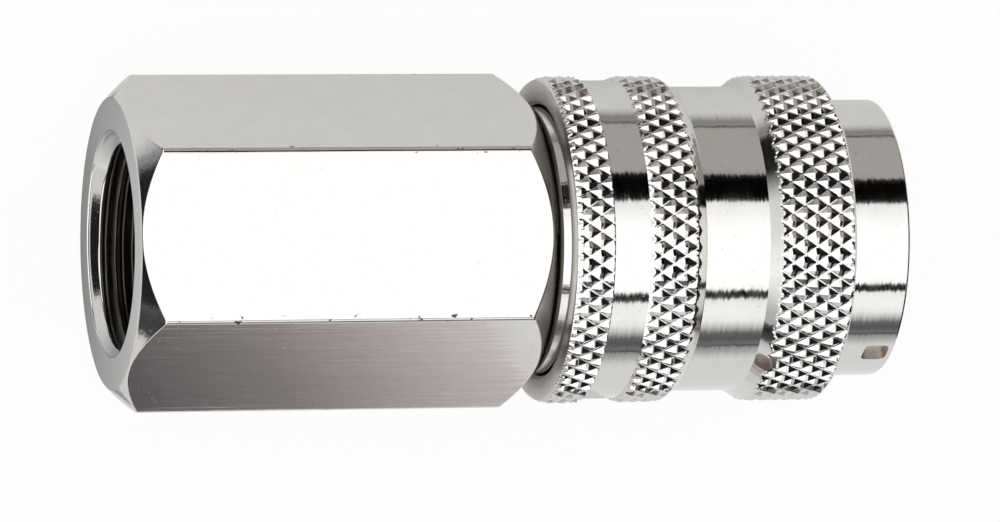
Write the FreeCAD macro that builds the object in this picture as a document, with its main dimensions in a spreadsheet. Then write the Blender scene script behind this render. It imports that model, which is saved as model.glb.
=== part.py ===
import FreeCAD, Part
import math
import os

import Sketcher
from FreeCAD import Placement, Rotation, Vector

# Quick coupling socket with a self-locking sleeve, as it lies on its side: the axis runs along X,
# the port face is at X = 0, the nose points to +X and two flats of the hexagon face up and down.
# The sleeve stands back, as it does while no plug is in: the keeper holds the balls out, the balls hold
# the sleeve's taper, and the sleeve spring pushes it forward over the balls once the keeper is pushed in.

doc = FreeCAD.newDocument("QuickCouplingSocket")

# Driving dimensions in millimetres and degrees
SIZES = {
    # hexagon body
    "across_flats": 22.0,
    "hex_length": 32.2,
    "port_face_dia": 21.8,
    "neck_collar_dia": 20.2,
    "neck_collar_length": 1.3,
    "hex_chamfer_angle": 45.0,
    "port_bore_dia": 14.95,
    "port_bore_depth": 12.5,
    "countersink_dia": 17.0,
    "drill_point_angle": 118.0,
    "passage_dia": 12.0,
    "joint_bore_dia": 17.0,
    "joint_bore_depth": 15.2,
    "joint_edge_chamfer": 0.4,
    # valve body
    "joint_clearance": 0.05,
    "running_clearance": 0.05,
    "chamber_dia": 13.8,
    "chamber_depth": 12.0,
    "tip_bore_dia": 10.1,
    "tip_bore_length": 3.35,
    "seal_groove_depth": 1.35,
    "seal_groove_width": 1.7,
    "seal_groove_inset": 0.85,
    "keeper_shoulder": 0.65,
    "keeper_chamber_length": 8.6,
    "keeper_bore_dia": 12.2,
    "ball_lead": 3.2,
    "entry_lead": 2.2,
    "entry_step": 0.2,
    "mouth_chamfer": 1.2,
    "nose_step": 1.57,
    "nose_setback": 12.2,
    "nose_edge_radius": 0.25,
    "neck_length": 6.0,
    # balls
    "ball_dia": 3.6,
    "ball_count": 8,
    "ball_drop": 0.85,
    "ball_play": 0.1,
    "ball_hole_clearance": 0.03,
    "ball_lip_height": 0.3,
    "ball_lip_width": 0.1,
    # sleeve
    "sleeve_gap": 0.65,
    "sleeve_travel": 4.2,
    "band_inset": 0.3,
    "smooth_depth": 0.35,
    "waist_depth": 0.85,
    "rear_band_length": 2.75,
    "band_edge_length": 0.15,
    "smooth_length": 2.75,
    "band_slope_length": 0.6,
    "middle_band_length": 2.8,
    "rear_cone_length": 1.1,
    "waist_length": 4.9,
    "front_cone_length": 1.05,
    "front_band_length": 5.55,
    "sleeve_edge_chamfer": 0.35,
    "bore_edge_chamfer": 0.25,
    "spring_bore_play": 0.23,
    "spring_bore_depth": 7.55,
    "taper_lead": 0.3,
    "taper_play": 0.03,
    "land_play": 0.08,
    "stop_play": 0.05,
    "knurl_count": 62,
    "knurl_pitch": 1.86,
    "knurl_skim": 0.02,
    "knurl_rise": 0.05,
    # drilled marks on the sleeve and the nose
    "mark_depth": 0.5,
    "sleeve_mark_angle": 54.0,
    "sleeve_mark_dia": 1.5,
    "sleeve_mark_setback": 0.25,
    "nose_mark_angle": 59.5,
    "nose_mark_dia": 1.9,
    "nose_mark_setback": 1.37,
    # keeper
    "keeper_lead": 0.35,
    "keeper_flange_length": 1.35,
    "keeper_wall": 0.85,
    "keeper_edge_chamfer": 0.3,
    "keeper_play": 0.05,
    # poppet
    "seal_section": 1.6,
    "seal_play": 0.03,
    "poppet_seal_dia": 11.1,
    "poppet_head_dia": 12.2,
    "poppet_head_length": 2.15,
    "poppet_collar_dia": 10.1,
    "poppet_collar_length": 0.3,
    "poppet_nose_dia": 9.2,
    "poppet_nose_bore": 7.0,
    "poppet_nose_length": 3.7,
    "poppet_floor": 0.5,
    "window_width": 2.6,
    "window_length": 1.2,
    "window_count": 4,
    "stem_dia": 3.0,
    "stem_overhang": 1.4,
    # valve guide, retaining ring and gasket
    "guide_thickness": 1.2,
    "hub_dia": 4.4,
    "hub_length": 1.0,
    "flow_hole_dia": 2.8,
    "flow_circle_dia": 9.7,
    "flow_hole_count": 6,
    "ring_thickness": 0.9,
    "ring_side_play": 0.1,
    "ring_inset": 1.0,
    "ring_groove_depth": 0.6,
    "ring_width": 1.25,
    "ring_gap_angle": 40.0,
    "gasket_thickness": 1.0,
    "gasket_inset": 0.3,
    # springs
    "spring_end_play": 0.05,
    "sleeve_wire": 0.9,
    "sleeve_coil_play": 0.24,
    "sleeve_turns": 4.0,
    "keeper_wire": 0.7,
    "keeper_coil_play": 0.4,
    "keeper_turns": 3.0,
    "valve_wire": 0.7,
    "valve_coil_play": 0.4,
    "valve_turns": 3.5,
}

sheet = doc.addObject("Spreadsheet::Sheet", "Sizes")
for row, (alias, number) in enumerate(SIZES.items(), start=1):
    sheet.set(f"A{row}", alias)
    sheet.set(f"B{row}", str(number))
    sheet.setAlias(f"B{row}", alias)
doc.recompute()


def size(alias):
    """The sheet's cell of that name, as it stands in an expression."""
    return f"Sizes.{alias}"


def radius(alias):
    """Half of a diameter in the sheet, as an expression."""
    return f"(Sizes.{alias} / 2)"


def value(expression):
    """The number that an expression comes to."""
    return float(sheet.evalExpression(expression))


# Places along the axis, from the port face
HEX_FRONT = size("hex_length")
COLLAR_FRONT = f"({HEX_FRONT} + Sizes.neck_collar_length)"
JOINT_FLOOR = f"({HEX_FRONT} - Sizes.joint_bore_depth)"
CARTRIDGE_REAR = f"({JOINT_FLOOR} + Sizes.gasket_thickness)"
RING_GROOVE_REAR = f"({CARTRIDGE_REAR} + Sizes.ring_inset)"
GUIDE_REAR = f"({RING_GROOVE_REAR} + Sizes.ring_thickness + Sizes.ring_side_play)"
SEAT_REAR = f"({CARTRIDGE_REAR} + Sizes.chamber_depth)"
SEAT_FRONT = f"({SEAT_REAR} + (Sizes.chamber_dia - Sizes.tip_bore_dia) / 2)"
TIP_BORE_FRONT = f"({SEAT_FRONT} + Sizes.tip_bore_length)"
KEEPER_STOP = f"({TIP_BORE_FRONT} + Sizes.keeper_chamber_length)"
BALL_PLACE = f"({KEEPER_STOP} + Sizes.ball_lead)"
NOSE_FRONT = f"({BALL_PLACE} + Sizes.nose_setback)"
SLEEVE_REAR = f"({HEX_FRONT} + Sizes.sleeve_gap)"
SPRING_SHOULDER = f"({SLEEVE_REAR} + Sizes.spring_bore_depth)"
TAPER_FRONT = f"({BALL_PLACE} + Sizes.taper_lead)"
NOSE_REAR = f"({TAPER_FRONT} + Sizes.sleeve_travel + Sizes.stop_play)"

# The sleeve's bands stand a little inside the hexagon's corners, its smooth ring and waist below the bands
CORNER_RADIUS = "(Sizes.across_flats / sqrt(3))"
BAND_RADIUS = f"({CORNER_RADIUS} - Sizes.band_inset)"
SMOOTH_RADIUS = f"({BAND_RADIUS} - Sizes.smooth_depth)"
WAIST_RADIUS = f"({BAND_RADIUS} - Sizes.waist_depth)"

# Radii that follow from the balls: out on the keeper at rest, in under the sleeve's land when locked
KEEPER_RADIUS = "(Sizes.keeper_bore_dia / 2 - Sizes.running_clearance)"
BALL_OUT = f"({KEEPER_RADIUS} + Sizes.ball_play + Sizes.ball_dia / 2)"
LAND_RADIUS = f"({BALL_OUT} - Sizes.ball_drop + Sizes.ball_dia / 2 + Sizes.land_play)"
GUIDE_RADIUS = f"({LAND_RADIUS} - Sizes.running_clearance)"
NOSE_RADIUS = f"({GUIDE_RADIUS} + Sizes.nose_step)"
TAPER_SLOPE = "(Sizes.ball_drop / Sizes.sleeve_travel)"
TAPER_RADIUS = (
    f"({BALL_OUT} + (Sizes.ball_dia / 2 + Sizes.taper_play) * sqrt(1 + {TAPER_SLOPE}^2)"
    f" + {TAPER_SLOPE} * Sizes.taper_lead)"
)
TAPER_REAR = f"({TAPER_FRONT} - ({TAPER_RADIUS} - {LAND_RADIUS}) / {TAPER_SLOPE})"

# Bores and coils that follow from what they hold or run round
KEEPER_CHAMBER_RADIUS = "(Sizes.keeper_bore_dia / 2 + Sizes.keeper_shoulder)"
KEEPER_HOLE_RADIUS = f"({KEEPER_RADIUS} - Sizes.keeper_wall)"
ENTRY_RADIUS = "(Sizes.keeper_bore_dia / 2 + Sizes.entry_step)"
MOUTH_RADIUS = f"({ENTRY_RADIUS} + Sizes.mouth_chamfer)"
SEAL_GROOVE_RADIUS = "(Sizes.tip_bore_dia / 2 + Sizes.seal_groove_depth)"
RING_GROOVE_RADIUS = "(Sizes.chamber_dia / 2 + Sizes.ring_groove_depth)"
SLEEVE_COIL_RADIUS = f"({GUIDE_RADIUS} + Sizes.sleeve_coil_play + Sizes.sleeve_wire / 2)"
SPRING_BORE_RADIUS = f"({SLEEVE_COIL_RADIUS} + Sizes.sleeve_wire / 2 + Sizes.spring_bore_play)"
KEEPER_COIL_RADIUS = f"({KEEPER_CHAMBER_RADIUS} - Sizes.keeper_coil_play - Sizes.keeper_wire / 2)"
VALVE_COIL_RADIUS = "(Sizes.hub_dia / 2 + Sizes.valve_coil_play + Sizes.valve_wire / 2)"


def new_body(name):
    """An empty body whose label names the piece."""
    body = doc.addObject("PartDesign::Body", name)
    body.Label = name
    return body


def origin_feature(body, role):
    """The body's own origin plane or axis of that role."""
    return next(f for f in body.Origin.OriginFeatures if f.Role == role)


def new_sketch(body, name, role):
    """An empty sketch on one of the body's origin planes."""
    sketch = body.newObject("Sketcher::SketchObject", name)
    sketch.AttachmentSupport = (origin_feature(body, role), "")
    sketch.MapMode = "FlatFace"
    return sketch


def hold(sketch, kind, geometry, point, expression):
    """Ties a point's distance from the origin to an expression, or the point to the axis if it is 0."""
    if expression == "0":
        axis = -2 if kind == "DistanceX" else -1
        sketch.addConstraint(Sketcher.Constraint("PointOnObject", geometry, point, axis))
        return
    constraint = Sketcher.Constraint(kind, -1, 1, geometry, point, value(expression))
    index = sketch.addConstraint(constraint)
    sketch.setExpression(f"Constraints[{index}]", expression)


def draw_outline(sketch, corners):
    """A closed outline of straight lines through corners given as two expressions each."""
    points = [Vector(value(across), value(up), 0) for across, up in corners]
    count = len(points)
    for k in range(count):
        sketch.addGeometry(Part.LineSegment(points[k], points[(k + 1) % count]))
    for k in range(count):
        sketch.addConstraint(Sketcher.Constraint("Coincident", k, 2, (k + 1) % count, 1))
    for k, (across, up) in enumerate(corners):
        hold(sketch, "DistanceX", k, 1, across)
        hold(sketch, "DistanceY", k, 1, up)


def draw_circle(sketch, across, up, radius_expression):
    """A circle whose centre and radius are expressions."""
    centre = Vector(value(across), value(up), 0)
    circle = sketch.addGeometry(Part.Circle(centre, Vector(0, 0, 1), value(radius_expression)))
    hold(sketch, "DistanceX", circle, 3, across)
    hold(sketch, "DistanceY", circle, 3, up)
    constraint = Sketcher.Constraint("Radius", circle, value(radius_expression))
    index = sketch.addConstraint(constraint)
    sketch.setExpression(f"Constraints[{index}]", radius_expression)


def turn(body, name, corners, kind="PartDesign::Revolution", angle="360"):
    """Turns an outline in the XZ plane about the X axis, as material or as a cut."""
    sketch = new_sketch(body, f"{name}_profile", "XZ_Plane")
    draw_outline(sketch, corners)
    feature = body.newObject(kind, name)
    feature.Profile = sketch
    feature.ReferenceAxis = (sketch, ["H_Axis"])
    feature.setExpression("Angle", angle)
    doc.recompute()
    return feature


def turn_cut(body, name, corners):
    """Cuts a turned outline out of the body and makes sure that it removed something."""
    before = body.Shape.Volume
    feature = turn(body, name, corners, "PartDesign::Groove")
    if body.Shape.Volume >= before:
        raise RuntimeError(f"{name} cut nothing")
    return feature


def radial_sketch(body, name, clock, height):
    """A sketch tangent to a circle about X: clock turns it from the top about X, height is its radius."""
    sketch = new_sketch(body, name, "XY_Plane")
    turned = Rotation(Vector(1, 0, 0), value(clock))
    outward = turned.multVec(Vector(0, 0, value(height)))
    sketch.AttachmentOffset = Placement(outward, turned)
    sketch.setExpression("AttachmentOffset.Rotation.Angle", f"{clock} * 1 deg")
    sketch.setExpression("AttachmentOffset.Base.y", f"-({height}) * sin({clock} * 1 deg)")
    sketch.setExpression("AttachmentOffset.Base.z", f"({height}) * cos({clock} * 1 deg)")
    return sketch


def cut_outward(body, name, sketch):
    """Cuts a sketch from its plane outwards and makes sure that it removed something."""
    doc.recompute()
    before = body.Shape.Volume
    pocket = body.newObject("PartDesign::Pocket", name)
    pocket.Profile = sketch
    pocket.Type = "ThroughAll"
    pocket.Reversed = True
    doc.recompute()
    if body.Shape.Volume >= before:
        raise RuntimeError(f"{name} cut nothing")
    return pocket


def repeat_round(body, name, features, count):
    """Repeats features evenly round the X axis."""
    pattern = body.newObject("PartDesign::PolarPattern", name)
    pattern.Originals = features
    pattern.Axis = (origin_feature(body, "X_Axis"), [""])
    pattern.Angle = 360
    pattern.setExpression("Occurrences", count)
    body.Tip = pattern
    doc.recompute()
    return pattern


def circular_edge(shape, place, edge_radius):
    """Name of the round edge about X at a place along the axis."""
    for k, edge in enumerate(shape.Edges, start=1):
        curve = edge.Curve
        if not isinstance(curve, Part.Circle):
            continue
        near_place = abs(curve.Center.x - value(place)) < 1e-4
        if near_place and abs(curve.Radius - value(edge_radius)) < 1e-4:
            return f"Edge{k}"
    raise RuntimeError(f"no round edge at {place}")


def closed_solid(faces):
    """The solid that a closed set of faces bounds."""
    solid = Part.makeSolid(Part.makeShell(faces))
    if solid.Volume < 0:
        solid.reverse()
    return solid


def make_hex_body():
    """Hexagon bar: chamfered at both ends, turned to a collar at the front, and bored from both sides."""
    body = new_body("hex_body")
    flats = new_sketch(body, "hexagon", "YZ_Plane")
    corner_radius = value(CORNER_RADIUS)
    corners = [Vector(corner_radius, 0, 0)]
    for k in range(1, 6):
        corners.append(Rotation(Vector(0, 0, 1), 60 * k).multVec(corners[0]))
    for k in range(6):
        flats.addGeometry(Part.LineSegment(corners[k], corners[(k + 1) % 6]))
    for k in range(6):
        flats.addConstraint(Sketcher.Constraint("Coincident", k, 2, (k + 1) % 6, 1))
    ring = flats.addGeometry(Part.Circle(Vector(0, 0, 0), Vector(0, 0, 1), corner_radius), True)
    flats.addConstraint(Sketcher.Constraint("Coincident", ring, 3, -1, 1))
    for k in range(6):
        flats.addConstraint(Sketcher.Constraint("PointOnObject", k, 1, ring))
    for k in range(1, 6):
        flats.addConstraint(Sketcher.Constraint("Equal", 0, k))
    flats.addConstraint(Sketcher.Constraint("PointOnObject", 0, 1, -1))
    index = flats.addConstraint(Sketcher.Constraint("Radius", ring, corner_radius))
    flats.setExpression(f"Constraints[{index}]", CORNER_RADIUS)
    bar = body.newObject("PartDesign::Pad", "bar")
    bar.Profile = flats
    bar.setExpression("Length", COLLAR_FRONT)
    doc.recompute()

    # The chamfer cuts reach a little past the corners
    past_corner = 1.0
    beyond = f"({CORNER_RADIUS} + {past_corner})"
    lean = "tan(Sizes.hex_chamfer_angle * 1 deg)"
    port_drop = f"({beyond} - {radius('port_face_dia')}) * {lean}"
    turn_cut(body, "port_chamfer", [("0", radius("port_face_dia")), ("0", beyond), (port_drop, beyond)])
    neck_drop = f"({beyond} - {radius('neck_collar_dia')}) * {lean}"
    turn_cut(
        body,
        "neck_chamfer",
        [
            (COLLAR_FRONT, radius("neck_collar_dia")),
            (COLLAR_FRONT, beyond),
            (f"{HEX_FRONT} - {neck_drop}", beyond),
            (HEX_FRONT, radius("neck_collar_dia")),
        ],
    )

    countersink_depth = f"({radius('countersink_dia')} - {radius('port_bore_dia')})"
    drill_cone = (
        f"(({radius('port_bore_dia')} - {radius('passage_dia')}) / tan(Sizes.drill_point_angle / 2 * 1 deg))"
    )
    turn_cut(
        body,
        "bores",
        [
            ("0", "0"),
            ("0", radius("countersink_dia")),
            (countersink_depth, radius("port_bore_dia")),
            (size("port_bore_depth"), radius("port_bore_dia")),
            (f"Sizes.port_bore_depth + {drill_cone}", radius("passage_dia")),
            (JOINT_FLOOR, radius("passage_dia")),
            (JOINT_FLOOR, radius("joint_bore_dia")),
            (f"{COLLAR_FRONT} - Sizes.joint_edge_chamfer", radius("joint_bore_dia")),
            (COLLAR_FRONT, f"{radius('joint_bore_dia')} + Sizes.joint_edge_chamfer"),
            (COLLAR_FRONT, "0"),
        ],
    )
    return body


def make_valve_body():
    """Turned tube: thread and neck, guide for the sleeve's land, nose, ball holes and stepped bores."""
    body = new_body("valve_body")
    thread_radius = "(Sizes.joint_bore_dia / 2 - Sizes.joint_clearance)"
    neck_front = f"({HEX_FRONT} + Sizes.neck_length)"
    seal_rear = f"({SEAT_FRONT} + Sizes.seal_groove_inset)"
    seal_front = f"({seal_rear} + Sizes.seal_groove_width)"
    entry_rear = f"({BALL_PLACE} + Sizes.entry_lead)"
    outside = [
        (CARTRIDGE_REAR, f"{thread_radius} - Sizes.joint_edge_chamfer"),
        (f"{CARTRIDGE_REAR} + Sizes.joint_edge_chamfer", thread_radius),
        (neck_front, thread_radius),
        (f"{neck_front} + ({GUIDE_RADIUS} - {thread_radius})", GUIDE_RADIUS),
        (NOSE_REAR, GUIDE_RADIUS),
        (NOSE_REAR, NOSE_RADIUS),
        (NOSE_FRONT, NOSE_RADIUS),
    ]
    inside = [
        (NOSE_FRONT, MOUTH_RADIUS),
        (f"{NOSE_FRONT} - Sizes.mouth_chamfer", ENTRY_RADIUS),
        (f"{entry_rear} + Sizes.entry_step", ENTRY_RADIUS),
        (entry_rear, radius("keeper_bore_dia")),
        (KEEPER_STOP, radius("keeper_bore_dia")),
        (KEEPER_STOP, KEEPER_CHAMBER_RADIUS),
        (TIP_BORE_FRONT, KEEPER_CHAMBER_RADIUS),
        (TIP_BORE_FRONT, radius("tip_bore_dia")),
        (seal_front, radius("tip_bore_dia")),
        (seal_front, SEAL_GROOVE_RADIUS),
        (seal_rear, SEAL_GROOVE_RADIUS),
        (seal_rear, radius("tip_bore_dia")),
        (SEAT_FRONT, radius("tip_bore_dia")),
        (SEAT_REAR, radius("chamber_dia")),
        (GUIDE_REAR, radius("chamber_dia")),
        (GUIDE_REAR, RING_GROOVE_RADIUS),
        (RING_GROOVE_REAR, RING_GROOVE_RADIUS),
        (RING_GROOVE_REAR, radius("chamber_dia")),
        (CARTRIDGE_REAR, radius("chamber_dia")),
    ]
    tube = turn(body, "tube", outside + inside)

    rounded = body.newObject("PartDesign::Fillet", "nose_edge")
    rounded.Base = (tube, [circular_edge(tube.Shape, NOSE_FRONT, NOSE_RADIUS)])
    rounded.setExpression("Radius", size("nose_edge_radius"))
    doc.recompute()

    # A drilled mark close behind the rim, with a flat floor
    mark_floor = f"({NOSE_RADIUS} - Sizes.mark_depth)"
    mark = radial_sketch(body, "nose_mark_circle", size("nose_mark_angle"), mark_floor)
    draw_circle(mark, f"({NOSE_FRONT} - Sizes.nose_mark_setback)", "0", radius("nose_mark_dia"))
    cut_outward(body, "nose_mark", mark)

    # Each ball hole is open to the sleeve and keeps a lip at the bore, so that no ball falls in
    lip_radius = f"({radius('keeper_bore_dia')} + Sizes.ball_lip_height)"
    hole = radial_sketch(body, "ball_hole_circle", "0", lip_radius)
    draw_circle(hole, BALL_PLACE, "0", f"{radius('ball_dia')} + Sizes.ball_hole_clearance")
    ball_hole = cut_outward(body, "ball_hole", hole)
    lip = radial_sketch(body, "ball_lip_circle", "0", "0")
    draw_circle(lip, BALL_PLACE, "0", f"{radius('ball_dia')} - Sizes.ball_lip_width")
    ball_lip = cut_outward(body, "ball_lip", lip)
    repeat_round(body, "ball_holes", [ball_hole, ball_lip], size("ball_count"))
    return body


def make_sleeve():
    """One turned piece: three bands outside; spring bore, locking taper and nose bore inside."""
    body = new_body("turned_sleeve")
    nose_bore = f"({NOSE_RADIUS} + Sizes.running_clearance)"
    rear_band_front = f"({SLEEVE_REAR} + Sizes.rear_band_length)"
    smooth_rear = f"({rear_band_front} + Sizes.band_edge_length)"
    smooth_front = f"({smooth_rear} + Sizes.smooth_length)"
    middle_rear = f"({smooth_front} + Sizes.band_slope_length)"
    middle_front = f"({middle_rear} + Sizes.middle_band_length)"
    waist_rear = f"({middle_front} + Sizes.rear_cone_length)"
    waist_front = f"({waist_rear} + Sizes.waist_length)"
    front_rear = f"({waist_front} + Sizes.front_cone_length)"
    sleeve_front = f"({front_rear} + Sizes.front_band_length)"
    outside = [
        (SLEEVE_REAR, f"{BAND_RADIUS} - Sizes.sleeve_edge_chamfer"),
        (f"{SLEEVE_REAR} + Sizes.sleeve_edge_chamfer", BAND_RADIUS),
        (rear_band_front, BAND_RADIUS),
        (smooth_rear, SMOOTH_RADIUS),
        (smooth_front, SMOOTH_RADIUS),
        (middle_rear, BAND_RADIUS),
        (middle_front, BAND_RADIUS),
        (waist_rear, WAIST_RADIUS),
        (waist_front, WAIST_RADIUS),
        (front_rear, BAND_RADIUS),
        (f"{sleeve_front} - Sizes.sleeve_edge_chamfer", BAND_RADIUS),
        (sleeve_front, f"{BAND_RADIUS} - Sizes.sleeve_edge_chamfer"),
    ]
    inside = [
        (sleeve_front, f"{nose_bore} + Sizes.bore_edge_chamfer"),
        (f"{sleeve_front} - Sizes.bore_edge_chamfer", nose_bore),
        (TAPER_FRONT, nose_bore),
        (TAPER_FRONT, TAPER_RADIUS),
        (TAPER_REAR, LAND_RADIUS),
        (SPRING_SHOULDER, LAND_RADIUS),
        (SPRING_SHOULDER, SPRING_BORE_RADIUS),
        (f"{SLEEVE_REAR} + Sizes.bore_edge_chamfer", SPRING_BORE_RADIUS),
        (SLEEVE_REAR, f"{SPRING_BORE_RADIUS} + Sizes.bore_edge_chamfer"),
    ]
    turn(body, "sleeve_section", outside + inside)

    mark_place = f"({front_rear} - Sizes.sleeve_mark_setback)"
    mark_floor = f"({WAIST_RADIUS} - Sizes.mark_depth)"
    mark = radial_sketch(body, "sleeve_mark_circle", size("sleeve_mark_angle"), mark_floor)
    draw_circle(mark, mark_place, "0", radius("sleeve_mark_dia"))
    cut_outward(body, "sleeve_mark", mark)
    return body, sleeve_front


def make_knurl(front):
    """What the knurling takes from the sleeve: a tube whose inside has a four-sided pyramid for each diamond.

    Its grooves end a little above the smooth ring, so that it marks only the three bands. On a grid of half
    diamonds, every other point is a pyramid's tip, and the points between them are where grooves cross."""
    count = 2 * int(value("Sizes.knurl_count"))
    tip_radius = value(f"{BAND_RADIUS} - Sizes.knurl_skim")
    groove_radius = value(f"{SMOOTH_RADIUS} + Sizes.knurl_rise")
    outer_radius = value(f"{BAND_RADIUS} + Sizes.smooth_depth")
    rear = value(SLEEVE_REAR)
    step = value("Sizes.knurl_pitch / 2")
    rows = range(-1, math.ceil((value(front) - rear) / step) + 2)

    def ring(place, radii):
        """The points at one place along the axis, at their radii round it."""
        points = []
        for column in range(count):
            angle = 2 * math.pi * column / count
            away = radii[column % 2]
            points.append(Vector(place, -away * math.sin(angle), away * math.cos(angle)))
        return points

    places = [rear + row * step for row in rows]
    grid = []
    for row, place in zip(rows, places):
        radii = (tip_radius, groove_radius) if row % 2 else (groove_radius, tip_radius)
        grid.append(ring(place, radii))
    outer_rear = ring(places[0], (outer_radius, outer_radius))
    outer_front = ring(places[-1], (outer_radius, outer_radius))

    def flat(*points):
        """A flat face with corners at these points."""
        return Part.Face(Part.makePolygon([*points, points[0]]))

    def end(outer, inner):
        """A flat ring between two closed outlines."""
        outlines = [Part.makePolygon([*points, points[0]]) for points in (outer, inner)]
        return Part.makeFace(outlines, "Part::FaceMakerBullseye")

    faces = [end(outer_rear, grid[0]), end(outer_front, grid[-1])]
    for column in range(count):
        beside = (column + 1) % count
        faces.append(flat(outer_rear[column], outer_rear[beside], outer_front[beside], outer_front[column]))
        for row, here, ahead in zip(rows, grid, grid[1:]):
            if (row + column) % 2:
                faces.append(flat(here[column], here[beside], ahead[column]))
                faces.append(flat(here[beside], ahead[beside], ahead[column]))
            else:
                faces.append(flat(here[column], here[beside], ahead[beside]))
                faces.append(flat(here[column], ahead[beside], ahead[column]))
    knurl = doc.addObject("Part::Feature", "knurl")
    knurl.Shape = closed_solid(faces)
    return knurl


def make_knurled_sleeve():
    """The turned sleeve with its bands knurled."""
    turned, front = make_sleeve()
    sleeve = doc.addObject("Part::Cut", "sleeve")
    sleeve.Label = "sleeve"
    sleeve.Base = turned
    sleeve.Tool = make_knurl(front)
    doc.recompute()
    if sleeve.Shape.Volume >= turned.Shape.Volume:
        raise RuntimeError("the knurl cut nothing")
    return sleeve


def make_keeper():
    """Flanged collar: its front runs under the balls, its flange stops it at the keeper bore."""
    body = new_body("ball_keeper")
    flange_front = f"({KEEPER_STOP} - Sizes.keeper_play)"
    flange_rear = f"({flange_front} - Sizes.keeper_flange_length)"
    flange_radius = f"({KEEPER_CHAMBER_RADIUS} - Sizes.running_clearance)"
    front = f"({BALL_PLACE} + Sizes.keeper_lead)"
    turn(
        body,
        "collar",
        [
            (flange_rear, KEEPER_HOLE_RADIUS),
            (flange_rear, flange_radius),
            (flange_front, flange_radius),
            (flange_front, KEEPER_RADIUS),
            (f"{front} - Sizes.keeper_edge_chamfer", KEEPER_RADIUS),
            (front, f"{KEEPER_RADIUS} - Sizes.keeper_edge_chamfer"),
            (front, KEEPER_HOLE_RADIUS),
        ],
    )
    return body, flange_rear


def make_poppet():
    """Turned valve: stem, head, groove for its seal and a windowed nose that the plug pushes."""
    body = new_body("valve_poppet")
    seal_mean = radius("poppet_seal_dia")
    half_section = radius("seal_section")
    seal_reach = f"(({half_section} + Sizes.seal_play) * sqrt(2))"
    seal_place = f"({SEAT_REAR} + {radius('chamber_dia')} - {seal_mean} - {seal_reach})"
    groove_rear = f"({seal_place} - {half_section} - Sizes.seal_play)"
    groove_front = f"({seal_place} + {half_section} + Sizes.seal_play)"
    groove_radius = f"({seal_mean} - {half_section} - Sizes.seal_play)"
    head_rear = f"({groove_rear} - Sizes.poppet_head_length)"
    stem_rear = f"({GUIDE_REAR} - Sizes.stem_overhang)"
    collar_front = f"({groove_front} + Sizes.poppet_collar_length)"
    nose_front = f"({collar_front} + Sizes.poppet_nose_length)"
    nose_floor = f"({groove_front} + Sizes.poppet_floor)"
    turn(
        body,
        "turned_poppet",
        [
            (stem_rear, "0"),
            (stem_rear, radius("stem_dia")),
            (head_rear, radius("stem_dia")),
            (head_rear, radius("poppet_head_dia")),
            (groove_rear, radius("poppet_head_dia")),
            (groove_rear, groove_radius),
            (groove_front, groove_radius),
            (groove_front, radius("poppet_collar_dia")),
            (collar_front, radius("poppet_collar_dia")),
            (collar_front, radius("poppet_nose_dia")),
            (nose_front, radius("poppet_nose_dia")),
            (nose_front, radius("poppet_nose_bore")),
            (nose_floor, radius("poppet_nose_bore")),
            (nose_floor, "0"),
        ],
    )
    window = radial_sketch(body, "window_outline", "0", "0")
    half_width = radius("window_width")
    window_front = f"({nose_floor} + Sizes.window_length)"
    draw_outline(
        window,
        [
            (nose_floor, f"-{half_width}"),
            (window_front, f"-{half_width}"),
            (window_front, half_width),
            (nose_floor, half_width),
        ],
    )
    window_cut = cut_outward(body, "window", window)
    repeat_round(body, "windows", [window_cut], size("window_count"))
    return body, seal_place, head_rear


def make_guide():
    """Drilled disc with a hub: guides the stem, carries the valve spring and lets the flow through."""
    body = new_body("valve_guide")
    front = f"({GUIDE_REAR} + Sizes.guide_thickness)"
    hub_front = f"({front} + Sizes.hub_length)"
    disc_radius = "(Sizes.chamber_dia / 2 - Sizes.joint_clearance)"
    stem_hole = f"({radius('stem_dia')} + Sizes.running_clearance)"
    turn(
        body,
        "disc",
        [
            (GUIDE_REAR, stem_hole),
            (GUIDE_REAR, disc_radius),
            (front, disc_radius),
            (front, radius("hub_dia")),
            (hub_front, radius("hub_dia")),
            (hub_front, stem_hole),
        ],
    )
    flow = new_sketch(body, "flow_hole_circle", "YZ_Plane")
    draw_circle(flow, "0", radius("flow_circle_dia"), radius("flow_hole_dia"))
    flow_hole = cut_outward(body, "flow_hole", flow)
    repeat_round(body, "flow_holes", [flow_hole], size("flow_hole_count"))
    return body, front


def make_retaining_ring():
    """Open spring ring in the valve body's groove, behind the valve guide."""
    body = new_body("retaining_ring")
    rear = f"({GUIDE_REAR} - Sizes.ring_thickness)"
    outer = f"({RING_GROOVE_RADIUS} - Sizes.joint_clearance)"
    inner = f"({outer} - Sizes.ring_width)"
    turn(
        body,
        "open_ring",
        [
            (rear, inner),
            (rear, outer),
            (GUIDE_REAR, outer),
            (GUIDE_REAR, inner),
        ],
        angle="360 - Sizes.ring_gap_angle",
    )
    return body


def make_gasket():
    """Flat ring clamped between the valve body's rear end and the floor of the joint bore."""
    body = new_body("body_gasket")
    outer = "(Sizes.joint_bore_dia / 2 - Sizes.joint_clearance)"
    inner = f"({radius('passage_dia')} + Sizes.gasket_inset)"
    turn(
        body,
        "flat_ring",
        [
            (JOINT_FLOOR, inner),
            (JOINT_FLOOR, outer),
            (CARTRIDGE_REAR, outer),
            (CARTRIDGE_REAR, inner),
        ],
    )
    return body


def make_seal(name, place, mean_radius):
    """Round-section ring about the axis."""
    ring = doc.addObject("Part::Torus", name)
    ring.Label = name
    ring.Placement = Placement(Vector(value(place), 0, 0), Rotation(Vector(0, 1, 0), 90))
    ring.setExpression("Placement.Base.x", place)
    ring.setExpression("Radius1", mean_radius)
    ring.setExpression("Radius2", radius("seal_section"))
    return ring


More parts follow.
